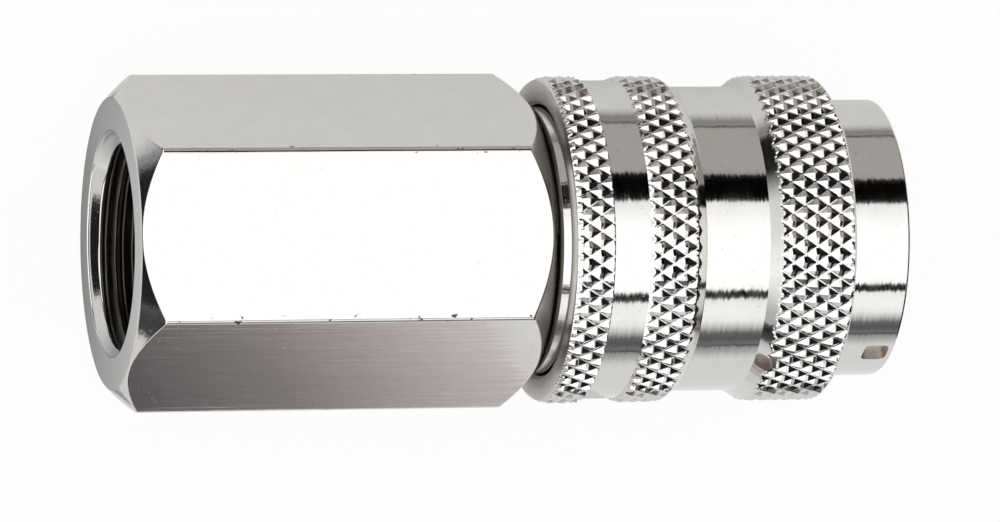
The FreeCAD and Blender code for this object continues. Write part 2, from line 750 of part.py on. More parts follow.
def make_ball(number):
    """One locking ball, out on the keeper; the first is at the top and the rest follow round the axis."""
    ball = doc.addObject("Part::Sphere", f"ball_{number}")
    ball.Label = f"ball_{number}"
    clock = f"({number - 1} * 360 / Sizes.ball_count * 1 deg)"
    ball.setExpression("Radius", radius("ball_dia"))
    ball.setExpression("Placement.Base.x", BALL_PLACE)
    ball.setExpression("Placement.Base.y", f"-{BALL_OUT} * sin({clock})")
    ball.setExpression("Placement.Base.z", f"{BALL_OUT} * cos({clock})")
    return ball


def make_spring(name, rear, front, coil_radius, wire, turns):
    """Round-wire spring about X: many-sided wire sections set along a helix and closed at both ends."""
    sections_per_turn = 18
    wire_sides = 8
    wire_radius = value(wire) / 2
    coil = value(coil_radius)
    first = value(rear) + value("Sizes.spring_end_play") + wire_radius
    last = value(front) - value("Sizes.spring_end_play") - wire_radius
    steps = round(value(turns) * sections_per_turn)
    along = Vector(1, 0, 0)
    rings = []
    for step in range(steps + 1):
        angle = 2 * math.pi * value(turns) * step / steps
        outward = Vector(0, -math.sin(angle), math.cos(angle))
        centre = along * (first + (last - first) * step / steps) + outward * coil
        ring = []
        for side in range(wire_sides):
            around = 2 * math.pi * side / wire_sides
            ring.append(centre + (outward * math.cos(around) + along * math.sin(around)) * wire_radius)
        rings.append(ring)
    faces = [
        Part.Face(Part.makePolygon(rings[0] + rings[0][:1])),
        Part.Face(Part.makePolygon(rings[-1] + rings[-1][:1])),
    ]
    for here, ahead in zip(rings, rings[1:]):
        for side in range(wire_sides):
            beside = (side + 1) % wire_sides
            for trio in (
                (here[side], ahead[side], ahead[beside]),
                (here[side], ahead[beside], here[beside]),
            ):
                faces.append(Part.Face(Part.makePolygon(trio + trio[:1])))
    spring = doc.addObject("Part::Feature", name)
    spring.Label = name
    spring.Shape = closed_solid(faces)
    spring.Placement = Placement()
    return spring


hex_body = make_hex_body()
valve_body = make_valve_body()
sleeve = make_knurled_sleeve()
keeper, keeper_rear = make_keeper()
poppet, poppet_seal_place, poppet_head_rear = make_poppet()
guide, guide_front = make_guide()
pieces = [hex_body, valve_body, sleeve, keeper, poppet, guide, make_retaining_ring(), make_gasket()]

plug_seal_place = f"({SEAT_FRONT} + Sizes.seal_groove_inset + Sizes.seal_groove_width / 2)"
plug_seal_mean = f"({SEAL_GROOVE_RADIUS} - Sizes.joint_clearance - Sizes.seal_section / 2)"
pieces.append(make_seal("poppet_seal", poppet_seal_place, radius("poppet_seal_dia")))
pieces.append(make_seal("plug_seal", plug_seal_place, plug_seal_mean))
for number in range(1, int(value("Sizes.ball_count")) + 1):
    pieces.append(make_ball(number))

for name, rear, front, coil_radius in (
    ("sleeve", COLLAR_FRONT, SPRING_SHOULDER, SLEEVE_COIL_RADIUS),
    ("keeper", TIP_BORE_FRONT, keeper_rear, KEEPER_COIL_RADIUS),
    ("valve", guide_front, poppet_head_rear, VALVE_COIL_RADIUS),
):
    pieces.append(
        make_spring(
            f"{name}_spring",
            rear,
            front,
            coil_radius,
            size(f"{name}_wire"),
            size(f"{name}_turns"),
        )
    )

doc.recompute()
for item in doc.Objects:
    if "Invalid" in item.State or "Error" in item.State:
        raise RuntimeError(f"{item.Name} did not build: {item.State}")
for piece in pieces:
    if piece.Shape.isNull() or not piece.Shape.isValid() or len(piece.Shape.Solids) != 1:
        raise RuntimeError(f"{piece.Label} is not one valid solid")

os.makedirs("parts", exist_ok=True)
for piece in pieces:
    piece.Shape.exportStep(f"parts/{piece.Label}.step")
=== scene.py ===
import math

import bpy
import numpy as np
from mathutils import Matrix, Vector


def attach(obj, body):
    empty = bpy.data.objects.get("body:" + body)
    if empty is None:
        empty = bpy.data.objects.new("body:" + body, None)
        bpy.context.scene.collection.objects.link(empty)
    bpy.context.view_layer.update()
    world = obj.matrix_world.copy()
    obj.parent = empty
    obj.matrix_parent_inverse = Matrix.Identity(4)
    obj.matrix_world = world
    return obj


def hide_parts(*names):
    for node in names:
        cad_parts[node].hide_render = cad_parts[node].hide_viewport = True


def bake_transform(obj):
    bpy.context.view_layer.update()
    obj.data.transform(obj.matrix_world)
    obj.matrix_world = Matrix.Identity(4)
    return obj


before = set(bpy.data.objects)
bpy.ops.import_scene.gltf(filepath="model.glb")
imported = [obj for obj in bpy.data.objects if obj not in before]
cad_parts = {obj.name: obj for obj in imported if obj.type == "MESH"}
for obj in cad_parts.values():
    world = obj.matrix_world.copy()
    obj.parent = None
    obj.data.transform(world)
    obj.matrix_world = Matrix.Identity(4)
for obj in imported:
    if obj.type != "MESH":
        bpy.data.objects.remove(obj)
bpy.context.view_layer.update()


# Hexagon body: a length of drawn hexagon bar, 22 mm across its flats, chamfered on the lathe and turned to a
# collar in front. The port is drilled, countersunk and tapped, and the valve body screws into the front end.
# It is steel with bright nickel plating, and its flats keep the fine lengthwise streaks of drawing.
MM = 0.001
SIDES = 6
HALF_SIDE = 180 / SIDES
FLAT = 11.0
FLAT_STEPS = 22
HEX_LENGTH = 32.2
EDGE_ROUND = 0.55
EDGE_STEPS = 9
EDGE_COLUMNS = (0.004, 0.015, 0.985, 0.996)
EDGE_WEAR = 12.44
EDGE_FADE = 0.08
PORT_FACE = 10.9
COLLAR = 10.1
COLLAR_FRONT = 33.5
COLLAR_TAPER = 0.12
COLLAR_RISE = 0.8
COUNTERSINK = 8.5
THREAD_CORE = 7.475
THREAD_DEPTH = 0.78
THREAD_PITCH = 1.337
THREAD_STEPS = 13
THREAD_SLOPE = 1.35
THREAD_CREST = 0.16
THREAD_STOP = 0.4
THREAD_FADE = 1.5
PORT_DEPTH = 12.5
PORT_GAP = 0.1
MOUTH_GAP = 0.12
PASSAGE = 6.0
DRILL_POINT = math.radians(59)
JOINT_BORE = 8.5
JOINT_FLOOR = 17.0
JOINT_CHAMFER = 0.4
SMUDGE_SHARE = 0.55
STAIN_AND_SHADE_DULLNESS = 0.35


def soften(corners, reach, steps=4, most=0.42, hold=0.03, hold_share=0.1):
    """Rounds the corners of a closed profile. Each corner becomes a parabola that leaves one side and meets
    the other at a distance of reach from the corner, or at the share most of the shorter side if that is
    less. One more point on each side, a little further out, keeps the straight runs straight. Corners have
    the shape (corner, column, x and r)."""
    corners = np.asarray(corners, float)
    ahead = np.roll(corners, -1, axis=0) - corners
    length = np.linalg.norm(ahead, axis=-1, keepdims=True)
    ahead = ahead / np.maximum(length, 1e-9)
    back = -np.roll(ahead, 1, axis=0)
    room = most * np.minimum(length, np.roll(length, 1, axis=0))
    reach = np.minimum(np.broadcast_to(np.reshape(reach, (-1, 1, 1)), length.shape), room)
    t = np.linspace(0, 1, steps + 1)[None, :, None, None]
    start = (corners + back * reach)[:, None]
    end = (corners + ahead * reach)[:, None]
    middle = corners[:, None]
    bend = (1 - t) ** 2 * start + 2 * t * (1 - t) * middle + t ** 2 * end
    outer = np.minimum(hold, hold_share * room)
    before = start + (back * outer)[:, None]
    after = end + (ahead * outer)[:, None]
    rows = np.concatenate([before, bend, after], axis=1)
    return rows.reshape(-1, *corners.shape[1:])


def carry_round(profile, angles):
    """Carries a profile of x and r round the axis: a point turned by an angle from the top, about X,
    stands at x, minus r times the angle's sine, and r times its cosine. Millimetres go to metres."""
    x, r = np.broadcast_arrays(profile[..., 0], profile[..., 1] + 0 * angles)
    return np.stack([x + 0 * angles, -r * np.sin(angles), r * np.cos(angles)], axis=-1) * MM


def lay_grid(name, points, loop_rows=True, folds=None):
    """Joins a grid of points into one smooth mesh of quads: columns close round the axis, and rows close too
    unless the profile runs from pole to pole, where the first and last rows shrink to one point each. With
    folds, each quad is two triangles that meet on its first diagonal, or on the other where folds is true."""
    rows, columns = points.shape[:2]
    grid = np.arange(rows * columns).reshape(rows, columns)
    lower = grid if loop_rows else grid[:-1]
    upper = np.roll(grid, -1, axis=0) if loop_rows else grid[1:]
    quads = np.stack([lower, np.roll(lower, -1, axis=1), np.roll(upper, -1, axis=1), upper], axis=-1)
    if folds is not None:
        quads = np.where(folds[..., None], np.roll(quads, 1, axis=-1), quads)
        quads = np.stack([quads[..., :3], quads[..., [0, 2, 3]]], axis=-2)
    quads = quads.reshape(-1, quads.shape[-1])
    if loop_rows:
        places, faces = points.reshape(-1, 3), quads.tolist()
    else:
        last = (rows - 2) * columns + 1
        poles = np.concatenate([np.zeros(columns), np.arange(1, last), np.full(columns, last)]).astype(int)
        places = np.concatenate([points[:1, 0], points[1:-1].reshape(-1, 3), points[-1:, 0]])
        quads = poles[quads]
        faces = [list(dict.fromkeys(quad)) for quad in quads.tolist()]
    mesh = bpy.data.meshes.new(name)
    mesh.from_pydata(places.tolist(), [], faces)
    mesh.polygons.foreach_set("use_smooth", np.ones(len(mesh.polygons), bool))
    mesh.update()
    piece = bpy.data.objects.new(name, mesh)
    bpy.context.scene.collection.objects.link(piece)
    return piece


def hexagon_columns():
    """Radius and angle of points round a hexagon with rounded edges: straight runs on the flats, and at each
    corner an arc about a centre that stands one edge radius inside both of its flats."""
    bend = np.radians(np.linspace(-HALF_SIDE, HALF_SIDE, EDGE_STEPS))
    centre = (FLAT - EDGE_ROUND) / math.cos(math.radians(HALF_SIDE))
    arc_across = EDGE_ROUND * np.sin(bend)
    arc_out = centre + EDGE_ROUND * np.cos(bend)
    turn = math.radians(2 * HALF_SIDE)
    next_across = math.cos(turn) * arc_across[0] + math.sin(turn) * arc_out[0]
    next_out = -math.sin(turn) * arc_across[0] + math.cos(turn) * arc_out[0]
    share = np.sort(np.concatenate([EDGE_COLUMNS, np.linspace(0, 1, FLAT_STEPS)[1:-1]]))
    run_across = arc_across[-1] + share * (next_across - arc_across[-1])
    run_out = arc_out[-1] + share * (next_out - arc_out[-1])
    side_across = np.concatenate([arc_across, run_across])
    side_out = np.concatenate([arc_out, run_out])
    radius = np.hypot(side_across, side_out)
    angle = np.arctan2(side_across, side_out)
    corners = np.radians(HALF_SIDE + 2 * HALF_SIDE * np.arange(SIDES))
    return np.tile(radius, SIDES), (corners[:, None] + angle).ravel()


def port_thread(x, angles):
    """Depth of the tapped thread below its core: a V with flat crest and root, repeated every pitch along
    the axis and shifted by one pitch for each turn, so that it runs as a right-hand helix."""
    phase = (x / THREAD_PITCH - angles / (2 * math.pi)) % 1
    flank = np.clip(THREAD_SLOPE * (1 - np.abs(2 * phase - 1)) - THREAD_CREST, 0, 1)
    fade = np.clip((PORT_DEPTH - THREAD_STOP - x) / THREAD_FADE, 0, 1)
    return THREAD_DEPTH * flank * fade


hex_radius, hex_angles = hexagon_columns()
drill_reach = PORT_DEPTH + (THREAD_CORE - PASSAGE) / math.tan(DRILL_POINT)
one = np.ones_like(hex_radius)
hex_profile = (
    (0, COUNTERSINK, 0.07),
    (0, PORT_FACE, 0.1),
    (hex_radius - PORT_FACE, hex_radius, 0.09),
    (HEX_LENGTH - (hex_radius - COLLAR), hex_radius, 0.09),
    (HEX_LENGTH + COLLAR_TAPER, COLLAR - COLLAR_TAPER, 0.03),
    (HEX_LENGTH + COLLAR_RISE, COLLAR, 0.03),
    (COLLAR_FRONT, COLLAR, 0.1),
    (COLLAR_FRONT, JOINT_BORE + JOINT_CHAMFER, 0.05),
    (COLLAR_FRONT - JOINT_CHAMFER, JOINT_BORE, 0.05),
    (JOINT_FLOOR, JOINT_BORE, 0.05),
    (JOINT_FLOOR, PASSAGE, 0.05),
    (drill_reach, PASSAGE, 0.05),
    (PORT_DEPTH, THREAD_CORE, 0.05),
)
hex_corners = np.stack([np.stack([x * one, r * one], axis=-1) for x, r, edge in hex_profile])
hex_rows = soften(hex_corners, [edge for x, r, edge in hex_profile])
bore_x = np.arange(PORT_DEPTH - PORT_GAP, MOUTH_GAP, -THREAD_PITCH / THREAD_STEPS)[:, None]
bore_wall = np.maximum(THREAD_CORE, COUNTERSINK - bore_x)
bore_r = np.maximum(bore_wall, THREAD_CORE + port_thread(bore_x, hex_angles))
bore_rows = np.stack(np.broadcast_arrays(bore_x, bore_r), axis=-1)
hex_grid = np.concatenate([hex_rows, bore_rows])
hex_body = lay_grid("hexagon_body", carry_round(hex_grid, hex_angles))
corner_rows = len(hex_rows) // len(hex_corners)
in_bore = np.arange(len(hex_grid)) > len(hex_rows) - 2 * corner_rows
in_port = in_bore & (hex_grid[:, 0, 0] > COUNTERSINK - THREAD_CORE)
hex_body.data.polygons.foreach_set("material_index", np.repeat(in_port, len(hex_angles)).astype(np.int32))


def new_group(name, inputs, outputs):
    """An empty shader node group with named inputs and outputs, each given as (name, kind, value)."""
    group = bpy.data.node_groups.new(name, "ShaderNodeTree")
    for direction, sockets in (("INPUT", inputs), ("OUTPUT", outputs)):
        for label, kind, value in sockets:
            socket = group.interface.new_socket(name=label, in_out=direction, socket_type=kind)
            if value is not None:
                socket.default_value = value
    return group, group.nodes.new("NodeGroupInput"), group.nodes.new("NodeGroupOutput")


def add_node(tree, kind, links=(), **settings):
    """A node with its settings, its socket values under their names, and links from other sockets."""
    node = tree.nodes.new(kind)
    for label, value in settings.items():
        if label == "values":
            for socket, number in value.items():
                node.inputs[socket].default_value = number
        else:
            setattr(node, label, value)
    for socket, source in links:
        tree.links.new(source, node.inputs[socket])
    return node


def make_worked_metal():
    """Marks of working on metal, as noise on the piece's own coordinates stretched differently along each
    axis: fine lines left by the tool, broad smudges of handling, small scattered pits and sparse nicks.
    Broader lines also tilt the surface a little about X: the normal plus a share of its cross product with
    that axis."""
    group, given, out = new_group(
        "worked_metal",
        [("Line Stretch", "NodeSocketVector", (1, 1, 1)), ("Smudge Scale", "NodeSocketFloat", 300.0),
         ("Pit Scale", "NodeSocketFloat", 4000.0), ("Tilt", "NodeSocketFloat", 0.0)],
        [("Lines", "NodeSocketFloat", None), ("Smudge", "NodeSocketFloat", None),
         ("Pits", "NodeSocketFloat", None), ("Nicks", "NodeSocketFloat", None),
         ("Normal", "NodeSocketVector", None)],
    )
    place = add_node(group, "ShaderNodeTexCoord").outputs["Object"]
    stretched = add_node(group, "ShaderNodeVectorMath", operation="MULTIPLY",
                         links=[(0, place), (1, given.outputs["Line Stretch"])])
    lines = add_node(group, "ShaderNodeTexNoise", values={"Scale": 1.0, "Detail": 5.0, "Roughness": 0.65},
                     links=[("Vector", stretched.outputs[0])])
    smudge = add_node(group, "ShaderNodeTexNoise", values={"Detail": 4.0, "Roughness": 0.6},
                      links=[("Vector", place), ("Scale", given.outputs["Smudge Scale"])])
    pits = add_node(group, "ShaderNodeTexNoise", values={"Detail": 2.0, "Roughness": 0.5},
                    links=[("Vector", place), ("Scale", given.outputs["Pit Scale"])])
    sparse = add_node(group, "ShaderNodeMapRange", values={"From Min": 0.68, "From Max": 0.76},
                      links=[("Value", pits.outputs["Fac"])])
    struck = add_node(group, "ShaderNodeTexNoise", values={"Scale": 1200.0, "Detail": 2.5, "Roughness": 0.6},
                      links=[("Vector", place)])
    nicks = add_node(group, "ShaderNodeMapRange", values={"From Min": 0.645, "From Max": 0.70},
                     links=[("Value", struck.outputs["Fac"])])
    broad = add_node(group, "ShaderNodeTexNoise", values={"Scale": 0.7, "Detail": 3.0, "Roughness": 0.6},
                     links=[("Vector", stretched.outputs[0])])
    swing = add_node(group, "ShaderNodeMath", operation="SUBTRACT", values={1: 0.5},
                     links=[(0, broad.outputs["Fac"])])
    amount = add_node(group, "ShaderNodeMath", operation="MULTIPLY",
                      links=[(0, swing.outputs[0]), (1, given.outputs["Tilt"])])
    facing = add_node(group, "ShaderNodeNewGeometry").outputs["Normal"]
    across = add_node(group, "ShaderNodeVectorMath", operation="CROSS_PRODUCT", links=[(1, facing)])
    across.inputs[0].default_value = (1, 0, 0)
    lean = add_node(group, "ShaderNodeVectorMath", operation="SCALE",
                    links=[(0, across.outputs[0]), ("Scale", amount.outputs[0])])
    tilted = add_node(group, "ShaderNodeVectorMath", operation="ADD",
                      links=[(0, facing), (1, lean.outputs[0])])
    even = add_node(group, "ShaderNodeVectorMath", operation="NORMALIZE", links=[(0, tilted.outputs[0])])
    group.links.new(lines.outputs["Fac"], out.inputs["Lines"])
    group.links.new(smudge.outputs["Fac"], out.inputs["Smudge"])
    group.links.new(sparse.outputs["Result"], out.inputs["Pits"])
    group.links.new(nicks.outputs["Result"], out.inputs["Nicks"])
    group.links.new(even.outputs[0], out.inputs["Normal"])
    return group


worked_metal = make_worked_metal()


def metal_finish(name, light, dark, stretch, gloss, depth, tilt=0.0, smudge_scale=300.0, stained_or_shaded_by=None,
                 stain_and_shade_colour=(0.30, 0.285, 0.265), in_nicks=False):
    """A metal whose colour runs from dark to light with its smudges and pits, whose roughness runs between
    the two values of gloss with lines and smudges, and whose tool lines stand as high as depth. Where
    stained_or_shaded_by names an attribute, the metal turns to stain_and_shade_colour and duller as that
    attribute goes from 0 to 1, all over or only in its nicks. The hexagon's edges use this for a real dark
    stain in their nicks, and the sleeve uses it for painted shade in its bore."""
    material = bpy.data.materials.new(name)
    material.use_nodes = True
    tree = material.node_tree
    shader = tree.nodes["Principled BSDF"]
    shader.inputs["Metallic"].default_value = 1.0
    marks = add_node(tree, "ShaderNodeGroup", node_tree=worked_metal,
                     values={"Line Stretch": stretch, "Smudge Scale": smudge_scale, "Tilt": tilt})
    wear = add_node(tree, "ShaderNodeMath", operation="MULTIPLY_ADD", values={1: SMUDGE_SHARE},
                    links=[(0, marks.outputs["Smudge"]), (2, marks.outputs["Pits"])])
    shade = add_node(tree, "ShaderNodeMix", data_type="RGBA", links=[("Factor", wear.outputs[0])])
    shade.inputs["A"].default_value = (*light, 1)
    shade.inputs["B"].default_value = (*dark, 1)
    colour = shade.outputs["Result"]
    mixed = add_node(tree, "ShaderNodeMath", operation="ADD",
                     links=[(0, marks.outputs["Lines"]), (1, marks.outputs["Smudge"])])
    rough = add_node(tree, "ShaderNodeMapRange", links=[("Value", mixed.outputs[0])],
                     values={"From Min": 0.7, "From Max": 1.3, "To Min": gloss[0], "To Max": gloss[1]})
    dull = rough.outputs["Result"]
    if stained_or_shaded_by:
        deep = add_node(tree, "ShaderNodeAttribute", attribute_name=stained_or_shaded_by).outputs["Fac"]
        if in_nicks:
            deep = add_node(tree, "ShaderNodeMath", operation="MULTIPLY",
                            links=[(0, deep), (1, marks.outputs["Nicks"])]).outputs[0]
        stain_and_shade = add_node(tree, "ShaderNodeMix", data_type="RGBA", links=[("Factor", deep), ("A", colour)])
        stain_and_shade.inputs["B"].default_value = (*stain_and_shade_colour, 1)
        colour = stain_and_shade.outputs["Result"]
        dull = add_node(tree, "ShaderNodeMath", operation="MULTIPLY_ADD", values={1: STAIN_AND_SHADE_DULLNESS},
                        links=[(0, deep), (2, dull)]).outputs[0]
    tree.links.new(colour, shader.inputs["Base Color"])
    tree.links.new(dull, shader.inputs["Roughness"])
    pitted = add_node(tree, "ShaderNodeMath", operation="SUBTRACT",
                      links=[(0, marks.outputs["Lines"]), (1, marks.outputs["Pits"])])
    bump = add_node(tree, "ShaderNodeBump", values={"Strength": 1.0, "Distance": depth},
                    links=[("Height", pitted.outputs[0]), ("Normal", marks.outputs["Normal"])])
    tree.links.new(bump.outputs["Normal"], shader.inputs["Normal"])
    return material


edge_mark = hex_body.data.attributes.new("edge", "FLOAT", "POINT")
edge_share = np.clip((hex_grid[..., 1] - EDGE_WEAR) / EDGE_FADE, 0, 1)
edge_mark.data.foreach_set("value", edge_share.astype(np.float32).ravel())
drawn_nickel = metal_finish("drawn_nickel", (0.77, 0.76, 0.745), (0.60, 0.585, 0.565), (120, 8000, 8000),
                            (0.05, 0.13), 2.5e-6, tilt=0.12, smudge_scale=420.0, stained_or_shaded_by="edge",
                            stain_and_shade_colour=(0.09, 0.083, 0.076), in_nicks=True)
# Painted shade: the tapped port is coloured near black, much darker than bare steel. It stands for the deep
# shade in the bore as well as for its unplated steel.
shaded_tapped_steel = metal_finish("shaded_tapped_steel", (0.10, 0.092, 0.085), (0.04, 0.036, 0.033),
                            (6000, 300, 300), (0.22, 0.40), 3.0e-6, smudge_scale=700.0)
hex_body.data.materials.append(drawn_nickel)
hex_body.data.materials.append(shaded_tapped_steel)
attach(hex_body, "body")
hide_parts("hex_body")


# Body gasket: a flat white ring at the bottom of the joint bore, clamped there by the valve body's end.
# It is stamped from fibre sheet, and keeps the shape of its solid.
def soft_finish(name, colour, second, grain_scale, roughness, depth, spread=0.1):
    """A dull material whose colour drifts between two tones with a fine grain that also roughens it."""
    material = bpy.data.materials.new(name)
    material.use_nodes = True
    tree = material.node_tree
    shader = tree.nodes["Principled BSDF"]
    place = add_node(tree, "ShaderNodeTexCoord").outputs["Object"]
    grain = add_node(tree, "ShaderNodeTexNoise", values={"Scale": grain_scale, "Detail": 5.0},
                     links=[("Vector", place)])
    shade = add_node(tree, "ShaderNodeMix", data_type="RGBA", links=[("Factor", grain.outputs["Fac"])])
    shade.inputs["A"].default_value = (*colour, 1)
    shade.inputs["B"].default_value = (*second, 1)
    tree.links.new(shade.outputs["Result"], shader.inputs["Base Color"])
    rough = add_node(tree, "ShaderNodeMapRange", links=[("Value", grain.outputs["Fac"])],
                     values={"To Min": roughness - spread, "To Max": roughness + spread})
    tree.links.new(rough.outputs["Result"], shader.inputs["Roughness"])
    bump = add_node(tree, "ShaderNodeBump", values={"Strength": 0.6, "Distance": depth},
                    links=[("Height", grain.outputs["Fac"])])
    tree.links.new(bump.outputs["Normal"], shader.inputs["Normal"])
    return material


def dress_node(node, material):
    """Puts a finish on a CAD node that keeps its own shape."""
    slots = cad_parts[node].data.materials
    slots.clear()
    slots.append(material)


gasket_fibre = soft_finish("gasket_fibre", (0.84, 0.83, 0.79), (0.66, 0.64, 0.60), 9000.0, 0.75, 1e-5)
dress_node("body_gasket", gasket_fibre)


# Valve body: the turned tube that everything inside is built into, screwed into the hexagon's front end.
# Its nose is the part that shows, with a broken edge, a bevelled mouth and a punched mark close to the rim.
# It is steel with bright nickel plating over fine turning lines.
NOSE = 10.5
NOSE_FRONT = 59.2
NOSE_REAR = 51.55
NOSE_ROUND = 0.15
MOUTH = 7.5
MOUTH_FLOOR = 58.0
MOUTH_ROUND = 0.12
ENTRY = 6.3
ENTRY_FLOOR = 49.4
TUBE = 8.93
TUBE_REAR = 18.0
TUBE_EDGE = 0.06
TUBE_STEPS = 256
JOINT_THREAD = 8.45
SHOULDER = 38.2
BALL_BORE = 6.1
KEEPER_BORE = 6.75
KEEPER_FLOOR = 35.2
KEEPER_STOP = 43.8
TIP_BORE = 5.05
SEAL_GROOVE = 6.4
SEAL_GROOVE_ENDS = (32.7, 34.4)
SEAT_FRONT = 31.85
REAR_BORE = 6.9
RING_GROOVE = 7.5
RING_GROOVE_ENDS = (19.0, 20.0)
MARK_DEPTH = 0.5
PUNCH_CLEAR = 1
NOSE_MARK_ANGLE = math.radians(59.5)
NOSE_MARK_PLACE = 57.83
NOSE_MARK_RADIUS = 0.95
DRILLED = 2
PUNCHED = 5
BALL = 1.8
BALL_PLACE = 47.0
BALL_CLOCK = np.arange(8) * math.pi / 4
HOLE_ENDS = (5.4, 9.7)
HOLE_STEP = 6.4
HOLE_LIP = 0.1
HOLE_PLAY = 0.03
tube_profile = (
    (TUBE_REAR, REAR_BORE),
    (TUBE_REAR, JOINT_THREAD - JOINT_CHAMFER),
    (TUBE_REAR + JOINT_CHAMFER, JOINT_THREAD),
    (SHOULDER, JOINT_THREAD),
    (SHOULDER + TUBE - JOINT_THREAD, TUBE),
    (NOSE_REAR, TUBE),
    (NOSE_REAR, NOSE),
    (NOSE_FRONT, NOSE),
    (NOSE_FRONT, MOUTH),
    (MOUTH_FLOOR, ENTRY),
    (ENTRY_FLOOR, ENTRY),
    (ENTRY_FLOOR - ENTRY + BALL_BORE, BALL_BORE),
    (KEEPER_STOP, BALL_BORE),
    (KEEPER_STOP, KEEPER_BORE),
    (KEEPER_FLOOR, KEEPER_BORE),
    (KEEPER_FLOOR, TIP_BORE),
    (SEAL_GROOVE_ENDS[1], TIP_BORE),
    (SEAL_GROOVE_ENDS[1], SEAL_GROOVE),
    (SEAL_GROOVE_ENDS[0], SEAL_GROOVE),
    (SEAL_GROOVE_ENDS[0], TIP_BORE),
    (SEAT_FRONT, TIP_BORE),
    (SEAT_FRONT - REAR_BORE + TIP_BORE, REAR_BORE),
    (RING_GROOVE_ENDS[1], REAR_BORE),
    (RING_GROOVE_ENDS[1], RING_GROOVE),
    (RING_GROOVE_ENDS[0], RING_GROOVE),
    (RING_GROOVE_ENDS[0], REAR_BORE),
)
tube_rounds = np.full(len(tube_profile), TUBE_EDGE)
rim = tube_profile.index((NOSE_FRONT, NOSE))
tube_rounds[rim] = NOSE_ROUND
tube_rounds[rim + 1:rim + 3] = MOUTH_ROUND


def full_turn(steps):
    """Angles spaced evenly round one whole turn."""
    return np.linspace(0, 2 * math.pi, steps, endpoint=False)


fine_turn = full_turn(TUBE_STEPS)
tube_rows = soften(np.array(tube_profile)[:, None, :], tube_rounds)
nose_tube = lay_grid("nose_tube", carry_round(tube_rows, fine_turn))


def drill(piece, holes, crisp, steps=48):
    """Cuts radial holes. Each is given by its place along X, its angle from the top, its profile, as pairs
    of height above the axis and radius, and its power; the profile is carried round the hole's own axis along
    a circle where the power is 2, or along a rounded square where it is more, and the solid that it makes is
    cut out of the piece. The walls of the holes take the piece's second material, and edges sharper than the
    angle crisp are then shaded as edges."""
    cutters = []
    around = full_turn(steps)
    for place, clock, profile, power in holes:
        height, radius = np.array(profile, float).T[:, :, None]
        radius = radius * (np.abs(np.sin(around)) ** power + np.abs(np.cos(around)) ** power) ** (-1 / power)
        outward = np.array([0, -math.sin(clock), math.cos(clock)])
        aside = np.array([0, -math.cos(clock), -math.sin(clock)])
        points = (np.array([place, 0, 0]) + (height + 0 * around)[..., None] * outward
                  + (radius * np.sin(around))[..., None] * aside
                  + (radius * np.cos(around))[..., None] * np.array([1, 0, 0]))
        cutters.append(lay_grid("drill_bit", points[::-1] * MM, loop_rows=False))
    for cutter in cutters:
        for material in piece.data.materials:
            cutter.data.materials.append(material)
        cutter.data.polygons.foreach_set("material_index", np.ones(len(cutter.data.polygons), np.int32))
        cut = piece.modifiers.new("drilled", "BOOLEAN")
        cut.operation = "DIFFERENCE"
        cut.solver = "EXACT"
        cut.object = cutter
    graph = bpy.context.evaluated_depsgraph_get()
    drilled = bpy.data.meshes.new_from_object(piece.evaluated_get(graph))
    plain = piece.data
    drilled.name = plain.name
    piece.modifiers.clear()
    piece.data = drilled
    bpy.data.meshes.remove(plain)
    for cutter in cutters:
        bpy.data.meshes.remove(cutter.data)
    drilled.set_sharp_from_angle(angle=math.radians(crisp))


def punch(floor, top, radius):
    """The profile of a blind mark: one radius all the way between two heights above the axis."""
    return [(floor, 0), (floor, radius), (top, radius), (top, 0)]


ball_hole = [(HOLE_ENDS[0], 0), (HOLE_ENDS[0], BALL - HOLE_LIP), (HOLE_STEP, BALL - HOLE_LIP),
             (HOLE_STEP, BALL + HOLE_PLAY), (HOLE_ENDS[1], BALL + HOLE_PLAY), (HOLE_ENDS[1], 0)]
nose_mark = punch(NOSE - MARK_DEPTH, NOSE + PUNCH_CLEAR, NOSE_MARK_RADIUS)
turned_nickel = metal_finish("turned_nickel", (0.76, 0.75, 0.735), (0.60, 0.585, 0.565),
                             (9000, 140, 140), (0.06, 0.12), 1.0e-6, tilt=0.06, smudge_scale=500.0)
drilled_steel = metal_finish("drilled_steel", (0.60, 0.555, 0.52), (0.38, 0.345, 0.32),
                             (3000, 3000, 3000), (0.25, 0.45), 3.0e-6, smudge_scale=900.0)
nose_tube.data.materials.append(turned_nickel)
nose_tube.data.materials.append(drilled_steel)
drill(nose_tube, [*((BALL_PLACE, clock, ball_hole, DRILLED) for clock in BALL_CLOCK),
                  (NOSE_MARK_PLACE, NOSE_MARK_ANGLE, nose_mark, PUNCHED)], crisp=40)
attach(nose_tube, "body")
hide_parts("valve_body")


# Seals: two round-section rings of black nitrile rubber. One lies in a groove inside the tube and seals on
# the plug's tip; the other lies in the poppet's groove and closes the valve on its seat.
SEAL_SECTION = 0.8
SEAL_MEAN = 5.55
SEAL_STEPS = 96
section = full_turn(24)
nitrile = soft_finish("nitrile_rubber", (0.022, 0.022, 0.024), (0.045, 0.045, 0.048), 6000.0, 0.48, 6e-6)
for seal_name, seal_node, seal_body, seal_x in (
    ("plug_seal_ring", "plug_seal", "body", 33.55),
    ("poppet_seal_ring", "poppet_seal", "poppet", 30.176),
):
    ring_x = seal_x - SEAL_SECTION * np.cos(section)
    ring_r = SEAL_MEAN + SEAL_SECTION * np.sin(section)
    ring = np.stack([ring_x, ring_r], axis=-1)[:, None, :]
    seal = lay_grid(seal_name, carry_round(ring, full_turn(SEAL_STEPS)))
    seal.data.materials.append(nitrile)
    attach(seal, seal_body)
    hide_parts(seal_node)


